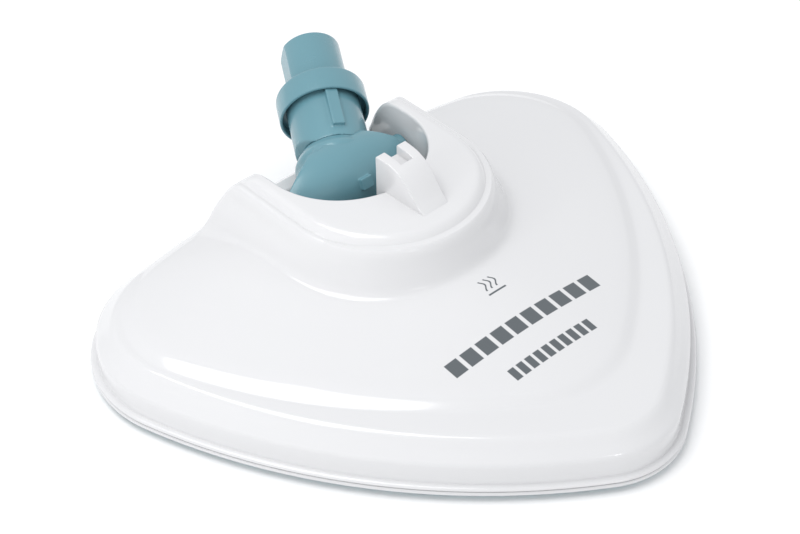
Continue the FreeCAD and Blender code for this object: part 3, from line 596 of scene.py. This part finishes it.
def moulded_copy(node, name, cell, passes, keep, material, sharp=60.0):
    """A copy of a CAD node with the small edge radii that a mould gives it."""
    mesh = frame["nodes"][node].data.copy()
    mesh.materials.clear()
    made = bpy.data.objects.new(name, mesh)
    bpy.context.scene.collection.objects.link(made)
    skin = made.modifiers.new("skin", "REMESH")
    skin.mode = "VOXEL"
    skin.voxel_size = cell
    ease = made.modifiers.new("ease", "SMOOTH")
    ease.factor = 0.5
    ease.iterations = passes
    thin = made.modifiers.new("thin", "DECIMATE")
    thin.ratio = keep
    baked(made)
    made.data.shade_smooth()
    made.data.set_sharp_from_angle(angle=math.radians(sharp))
    made.data.materials.clear()
    made.data.materials.append(material)
    return made


def settle(made, body, node):
    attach(made, body)
    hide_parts(node)


def repaint(node, material):
    frame["nodes"][node].data.materials.clear()
    frame["nodes"][node].data.materials.append(material)


def settings():
    return bpy.context.scene.mop_head


def palette(name, build, *values):
    """The named material, made on first use."""
    found = bpy.data.materials.get(name)
    return found if found else build(name, *values)


# Material slot of an inner part: name of its material, its kind and its values.
INNER_LOOKS = {
    "inner_grey": ("grey_inner_plastic", matte_plastic, (0.10, 0.105, 0.115)),
    "cradle_black": ("black_cradle_plastic", matte_plastic, (0.012, 0.012, 0.013)),
    "bush_grey": ("acetal", matte_plastic, (0.55, 0.55, 0.52), 0.4),
    "seal_silicone": ("silicone_seal", silicone, (0.48, 0.45, 0.40)),
    "screw_steel": ("zinc_screw", turned_steel, (0.60, 0.60, 0.62), 0.35),
    "spring_steel": ("bright_clamp", turned_steel, (0.66, 0.66, 0.68), 0.22),
    "pin_steel": ("ground_pin", turned_steel, (0.62, 0.63, 0.65), 0.2),
    "hook_tape": ("hook_tape", hook_tape, (0.70, 0.71, 0.72)),
}


def joint_frame():
    """Places a neck drawn upright at its rest position."""
    j = settings().joint
    at_pivot = Matrix.Translation(Vector((0, j.pivot_y, j.pivot_z)))
    return at_pivot @ Matrix.Rotation(-j.tilt, 4, "X") @ Matrix.Rotation(j.swivel, 4, "Y")


def teal_material():
    return palette("teal_gloss_plastic", gloss_plastic, settings().finishes.teal, 0.24, 0.25, 0.05, 0.03)


def white_material():
    return palette("white_gloss_plastic", printed_cover, settings().finishes)


# ------------------------------------------------------------------ operators
class MOPHEAD_OT_cover(bpy.types.Operator):
    """Moulds the cover: lip, skirt, stepped deck, horseshoe boss and well."""

    bl_idname = "mophead.cover"
    bl_label = "Cover"

    def execute(self, context):
        head, boss = settings().head, settings().boss
        centre = COVER_CENTRE
        turns = self.headings(head.columns)
        cos, sin = np.cos(turns), np.sin(turns)
        well = self.well_outline(boss)
        r_well = reach(well, centre, turns)
        r_boss = reach(self.boss_outline(boss), centre, turns)
        deck = rounded_triangle(
            head.width / 2 - head.deck_side, head.front + head.deck_nose, head.back - head.deck_rear,
            *DECK_RADII,
        )
        r_deck = reach(deck, centre, turns)

        def edge(inset):
            return reach(head_points(head, inset), centre, turns)

        lip_top = head.lip_foot + head.lip_height
        knots = [r_deck * share_out for share_out in DECK_SHARES] + [edge(inset) for inset in SKIRT_INSETS]
        levels = DECK_HEIGHTS + SKIRT_HEIGHTS

        def height(r):
            x = centre[0] + r * cos
            y = centre[1] + r * sin
            return self.surface(boss, x, y, monotone(np.array(knots), levels, r))

        last = edge(SKIRT_INSETS[-1])
        mouth = height(r_well + MOUTH_WIDTH)
        rows = [(r_well, np.full_like(mouth, boss.skirt))]
        for step, drop in MOUTH_ROWS:
            rows.append((r_well + step, np.maximum(mouth - drop, boss.skirt)))
        for t in np.linspace(0.0, 1.0, 30):
            r = r_well + MOUTH_WIDTH + (r_boss - r_well - MOUTH_WIDTH) * t
            rows.append((r, height(r)))
        middle = np.maximum(r_boss + (last - r_boss) * 0.22, np.minimum(r_deck * 0.9, r_boss + 0.05))
        middle = np.minimum(middle, r_boss + (last - r_boss) * 0.6)
        for t in np.linspace(0.0, 1.0, 44)[1:]:
            r = r_boss + (middle - r_boss) * (0.6 * t + 0.4 * t * t)
            rows.append((r, height(r)))
        for t in np.linspace(0.0, 1.0, 44)[1:]:
            r = middle + (last - middle) * t
            rows.append((r, height(r)))
        for inset, rise in LIP_ROWS:
            rows.append((edge(inset), np.full_like(turns, lip_top + rise)))
        points = np.vstack([np.stack([centre[0] + r * cos, centre[1] + r * sin, z], 1) for r, z in rows])
        made = new_object("cover", points, ring_faces(len(rows), head.columns), white_material(), 38.0)
        settle(made, "head", "top_cover")
        return {"FINISHED"}

    def headings(self, columns):
        """Directions from the centre, closer together towards the legs' ends."""
        fine = np.linspace(-math.pi, math.pi, 7201)
        weight = np.ones_like(fine)
        for aim in (LEG_HEADING, math.pi - LEG_HEADING):
            weight += LEG_EXTRA * np.exp(-((fine - aim) / LEG_WIDTH) ** 2)
        total = np.concatenate([[0.0], np.cumsum((weight[1:] + weight[:-1]) / 2)])
        return np.interp(np.linspace(0.0, total[-1], columns, endpoint=False), total, fine)

    def well_outline(self, boss):
        """Round front, straight sides and a square back with small corners."""
        r, small = boss.well, WELL_CORNER
        front = arc((0, boss.well_centre), r, -math.pi, 0.0)
        right = arc((r - small, boss.well_back - small), small, 0.0, math.pi / 2, 12)
        left = arc((small - r, boss.well_back - small), small, math.pi / 2, math.pi, 12)
        across = np.stack([np.linspace(r - small, small - r, 60), np.full(60, boss.well_back)], 1)
        up = np.stack([np.full(60, r), np.linspace(boss.well_centre, boss.well_back - small, 60)], 1)
        down = up[::-1] * np.array([-1.0, 1.0])
        return np.vstack([front, up, right, across, left, down])

    def boss_outline(self, boss):
        """Round front, straight legs and rounded outer corners at their ends."""
        r, big = boss.radius, boss.leg_round
        front = arc((0, boss.centre), r, -math.pi, 0.0)
        up = np.stack([np.full(60, r), np.linspace(boss.centre, boss.back - big, 60)], 1)
        right = arc((r - big, boss.back - big), big, 0.0, math.pi / 2, 40)
        across = np.stack([np.linspace(r - big, big - r, 90), np.full(90, boss.back)], 1)
        left = right[::-1] * np.array([-1.0, 1.0])
        down = up[::-1] * np.array([-1.0, 1.0])
        return np.vstack([front, up, right, across, left, down])

    def surface(self, boss, x, y, deck):
        """Height of the cover over one place in plan."""
        half = (boss.radius - boss.well) / 2
        mid, tip = boss.radius - half, boss.back - half
        side = np.abs(x) - boss.radius
        front = np.hypot(x, y - boss.centre) - boss.radius
        outside = np.where(y < boss.centre, front, side)
        bend = np.hypot(np.abs(x) - mid, y - tip) - half
        outside = np.where((np.abs(x) > mid) & (y > tip), bend, outside)
        wall = monotone(WALL_REACH, [boss.top + v for v in WALL_HEIGHTS], outside)
        crest = monotone([boss.back + v for v in LEG_REACH], [boss.top + v for v in LEG_HEIGHTS], y)
        hump = soft_low(wall, crest, CREST_BLEND)
        body = soft_high(deck, hump, DECK_BLEND)
        within = np.where(y > tip, np.minimum(np.abs(x) - boss.well, -bend), np.abs(x) - boss.well)
        within = np.where((np.abs(x) > mid) & (y > tip), 1.0, within)
        legs = boss.apron + LEG_STEP * step_up(within, LEG_STEP_FROM, LEG_STEP_TO)
        return np.where(y > boss.well_centre, np.minimum(body, legs), body)


class MOPHEAD_OT_bracket(bpy.types.Operator):
    """Builds the wedge-shaped park bracket with its two horns."""

    bl_idname = "mophead.bracket"
    bl_label = "Park bracket"

    def execute(self, context):
        size, boss = settings().bracket, settings().boss
        run, rise = size.rear - size.tip, size.top - boss.top
        along = np.linspace(0.0, 0.97, 17)
        up = monotone(BRACKET_SHARES, BRACKET_RISES, along)
        back = [(size.tip + run * t, boss.top + rise * u) for t, u in zip(along, up)]
        profile = [(size.tip, boss.top - TIP_DEPTH)] + back + [(size.rear - HORN_EDGE, size.top)]
        profile += [(size.rear, size.top - HORN_DROP), (size.rear, boss.top - REAR_DEPTH)]
        profile += [(boss.well_centre - boss.well - ROOT_STEP, boss.top - ROOT_DEPTH)]
        half = size.width / 2
        body = self.prism("park_bracket", profile, half)
        gap_y = size.rear - NOTCH_RUN
        low = size.top - size.notch_depth
        past, over = size.rear + NOTCH_PAST, low + NOTCH_OVER
        gap = [(gap_y, low), (past, low), (past, over), (gap_y, over)]
        cutter = self.prism("notch_tool", gap, size.notch / 2)
        cut = body.modifiers.new("notch", "BOOLEAN")
        cut.operation = "DIFFERENCE"
        cut.solver = "EXACT"
        cut.object = cutter
        edge = body.modifiers.new("edges", "BEVEL")
        edge.width = size.edge
        edge.segments = 4
        edge.limit_method = "ANGLE"
        edge.angle_limit = math.radians(35)
        baked(body)
        bpy.data.objects.remove(cutter)
        for v in body.data.vertices:
            lean = (size.rear - v.co.y) / run
            v.co.x *= 1.0 - BRACKET_TAPER * max(0.0, lean)
        body.data.shade_smooth()
        body.data.set_sharp_from_angle(angle=math.radians(40))
        settle(body, "head", "top_cover")
        return {"FINISHED"}

    def prism(self, name, profile, half):
        """A side profile drawn out to both sides of the middle plane."""
        count = len(profile)
        points = [(-half, y, z) for y, z in profile] + [(half, y, z) for y, z in profile]
        faces = [tuple(range(count)), tuple(range(2 * count - 1, count - 1, -1))]
        faces += [(i, i + count, (i + 1) % count + count, (i + 1) % count) for i in range(count)]
        made = new_object(name, points, faces, white_material(), 30.0)
        form = bmesh.new()
        form.from_mesh(made.data)
        bmesh.ops.recalc_face_normals(form, faces=form.faces)
        form.to_mesh(made.data)
        form.free()
        return made


class MOPHEAD_OT_rim(bpy.types.Operator):
    """Gives the tray and the sole, which show as a rim under the cover, their plastics."""

    bl_idname = "mophead.rim"
    bl_label = "Tray and sole"

    def execute(self, context):
        finishes = settings().finishes
        sole = palette("teal_sole_plastic", gloss_plastic, finishes.sole, 0.3, 0.15, 0.05, 0.05)
        tray = palette("white_tray_plastic", gloss_plastic, finishes.cover, 0.18, 0.3, 0.02, 0.02)
        repaint("base_housing", tray)
        repaint("sole_plate", sole)
        return {"FINISHED"}


class MOPHEAD_OT_knuckle(bpy.types.Operator):
    """Moulds the knuckle's two shells and the neck with soft edges."""

    bl_idname = "mophead.knuckle"
    bl_label = "Knuckle and neck"

    def execute(self, context):
        cell = settings().joint.grain * 1.0
        plan = [
            ("knuckle_front_shell", "knuckle_front", "knuckle"),
            ("knuckle_rear_shell", "knuckle_rear", "knuckle"),
            ("neck_tube", "neck", "neck"),
        ]
        for node, name, body in plan:
            made = moulded_copy(node, name, cell, 5, 0.35, teal_material())
            settle(made, body, node)
        self.ball_foot()
        return {"FINISHED"}

    def ball_foot(self):
        """Ball under the neck's cup; it closes the slot that the neck swings in."""
        j = settings().joint
        rings = np.linspace(0.02, math.pi - 0.02, 90)
        turns = np.linspace(0, 2 * math.pi, 144, endpoint=False)
        radius = j.ball + CUP_FILL * (1 - step_up(rings, CUP_FROM, CUP_TO))
        placed = joint_frame()
        points = []
        for a, r in zip(rings, radius):
            wide, up = r * math.sin(a), r * math.cos(a)
            points += [placed @ Vector((wide * math.cos(b), wide * math.sin(b), up)) for b in turns]
        made = new_object("neck_ball", points, ring_faces(len(rings), len(turns)), teal_material(), 40.0)
        settle(made, "neck", "neck_tube")


class MOPHEAD_OT_collar(bpy.types.Operator):
    """Turns the collar ring and the stub with its keying flat."""

    bl_idname = "mophead.collar"
    bl_label = "Collar and stub"

    def execute(self, context):
        j = settings().joint
        up = joint_frame()
        low, top, r = j.collar_foot, j.collar_foot + j.collar_height, j.collar
        inner, shank = j.neck + COLLAR_PLAY, j.stub - STUB_SHANK
        ring = [(r - inset, low + rise) for inset, rise in COLLAR_FOOT_ROWS]
        ring += [(r - inset, top - drop) for inset, drop in COLLAR_TOP_ROWS]
        ring += [(j.stub + 0.0003, top), (shank, top - 0.0002), (shank, top - 0.0018)]
        ring += [(inner, top - COLLAR_LEDGE), (inner, low + COLLAR_RECESS)]
        made = self.turned("collar", ring, up, None)
        settle(made, "neck", "collar_ring")
        end, bore, root = j.stub_end, j.stub - j.stub_wall, low - STUB_ROOT
        rows = [(shank, root), (shank, top), (j.stub, top)]
        rows += [(j.stub - inset, end - drop) for inset, drop in STUB_MOUTH_ROWS]
        rows += [(bore - inset, end - drop) for inset, drop in STUB_BORE_ROWS]
        rows += [(bore, root)]
        stub = self.turned("stub", rows, up, j.stub_flat)
        settle(stub, "neck", "connector_stub")
        return {"FINISHED"}

    def turned(self, name, rows, placed, flat):
        """A profile of radii and heights turned about the neck's axis, with a flat on one side if asked."""
        turns = np.linspace(0, 2 * math.pi, 192, endpoint=False)
        if flat:
            half = math.acos(flat / rows[3][0])
            turns = np.sort(np.append(turns, [math.pi - half, math.pi + half]))
        points = []
        for r, z in rows:
            for a in turns:
                x, y = r * math.cos(a), r * math.sin(a)
                if flat:
                    x = max(x, -flat)
                points.append(placed @ Vector((x, y, z)))
        return new_object(name, points, ring_faces(len(rows), len(turns), True), teal_material(), 28.0)


class MOPHEAD_OT_inner(bpy.types.Operator):
    """Gives every other node of the mop head its own finish."""

    bl_idname = "mophead.inner"
    bl_label = "Inner parts"

    def execute(self, context):
        slots = {row["node"]: row["material_slot"] for row in frame["record"]["subparts"]}
        for node in frame["nodes"]:
            slot = slots[node]
            if slot in INNER_LOOKS:
                repaint(node, palette(*INNER_LOOKS[slot]))
            elif slot == "joint_teal":
                repaint(node, teal_material())
            elif node not in ("base_housing", "sole_plate"):
                repaint(node, white_material())
        return {"FINISHED"}


class MOPHEAD_OT_stage(bpy.types.Operator):
    """Sets the pale floor, the soft studio lights and the camera."""

    bl_idname = "mophead.stage"
    bl_label = "Stage"

    def execute(self, context):
        stage = settings().stage
        scene = context.scene
        count = FLOOR_COUNT
        grid = np.linspace(-FLOOR_SPAN, FLOOR_SPAN, count)
        points = [(x, y, 0.0) for y in grid for x in grid]
        faces = [
            (r * count + c, r * count + c + 1, (r + 1) * count + c + 1, (r + 1) * count + c)
            for r in range(count - 1) for c in range(count - 1)
        ]
        board = palette("studio_board", studio_floor, settings().finishes.floor)
        floor = new_object("studio_floor", points, faces, board)
        camera = bpy.data.objects.new("studio_camera", bpy.data.cameras.new("studio_camera"))
        camera.data.lens = stage.lens
        camera.data.sensor_width = 36.0
        camera.data.clip_start = 0.05
        aim = Vector(stage.target) - Vector(stage.camera)
        turn = aim.to_track_quat("-Z", "Y").to_matrix().to_4x4() @ Matrix.Rotation(stage.roll, 4, "Z")
        camera.matrix_world = Matrix.Translation(Vector(stage.camera)) @ turn
        scene.collection.objects.link(camera)
        scene.camera = camera
        scene.view_settings.view_transform = "Standard"
        world = bpy.data.worlds.new("studio_room")
        world.use_nodes = True
        backdrop = world.node_tree.nodes["Background"]
        backdrop.inputs["Color"].default_value = ROOM_COLOUR
        backdrop.inputs["Strength"].default_value = ROOM_STRENGTH * stage.light
        scene.world = world
        for name, (where, size, power, mirrored, spread) in LAMPS.items():
            self.lamp(name, where, size, power * stage.light, mirrored, spread)
        return {"FINISHED"}

    def lamp(self, name, where, size, power, mirrored, spread):
        light = bpy.data.lights.new(name, "AREA")
        light.shape = "RECTANGLE"
        light.size, light.size_y = size
        light.energy = power
        light.spread = math.radians(spread)
        made = bpy.data.objects.new(name, light)
        turn = (Vector(LAMPS_AIM) - Vector(where)).to_track_quat("-Z", "Y")
        made.matrix_world = Matrix.Translation(Vector(where)) @ turn.to_matrix().to_4x4()
        made.visible_glossy = mirrored
        bpy.context.scene.collection.objects.link(made)


OPERATORS = [
    MOPHEAD_OT_cover,
    MOPHEAD_OT_bracket,
    MOPHEAD_OT_rim,
    MOPHEAD_OT_knuckle,
    MOPHEAD_OT_collar,
    MOPHEAD_OT_inner,
    MOPHEAD_OT_stage,
]


class MopHeadSettings(bpy.types.PropertyGroup):
    """All sizes and colours of the mop head."""

    head: PointerProperty(type=HeadSizes, name="Head", description="Plan of the floor head")
    boss: PointerProperty(type=BossSizes, name="Boss", description="Boss and well")
    bracket: PointerProperty(type=BracketSizes, name="Bracket", description="Park bracket")
    joint: PointerProperty(type=JointSizes, name="Joint", description="Collar, stub and rest position")
    finishes: PointerProperty(type=Finishes, name="Finishes", description="Colours")
    stage: PointerProperty(type=StageSizes, name="Stage", description="Camera and lights")


class MOPHEAD_PT_panel(bpy.types.Panel):
    """Lists the pieces of the mop head."""

    bl_idname = "MOPHEAD_PT_panel"
    bl_label = "Mop Head"
    bl_space_type = "VIEW_3D"
    bl_region_type = "UI"
    bl_category = "Mop Head"

    def draw(self, context):
        for operator in OPERATORS:
            self.layout.operator(operator.bl_idname)
        for group in ("head", "boss", "bracket", "joint", "finishes", "stage"):
            box = self.layout.box()
            values = getattr(context.scene.mop_head, group)
            for key in values.__annotations__:
                box.prop(values, key)


CLASSES = [HeadSizes, BossSizes, BracketSizes, JointSizes, Finishes, StageSizes, MopHeadSettings]
CLASSES += OPERATORS + [MOPHEAD_PT_panel]


def register():
    for cls in CLASSES:
        bpy.utils.register_class(cls)
    bpy.types.Scene.mop_head = PointerProperty(type=MopHeadSettings)


def unregister():
    del bpy.types.Scene.mop_head
    for cls in reversed(CLASSES):
        bpy.utils.unregister_class(cls)


def main():
    register()
    bpy.ops.mophead.cover()
    bpy.ops.mophead.bracket()
    bpy.ops.mophead.rim()
    bpy.ops.mophead.knuckle()
    bpy.ops.mophead.collar()
    bpy.ops.mophead.inner()
    bpy.ops.mophead.stage()


if __name__ == "__main__":
    main()
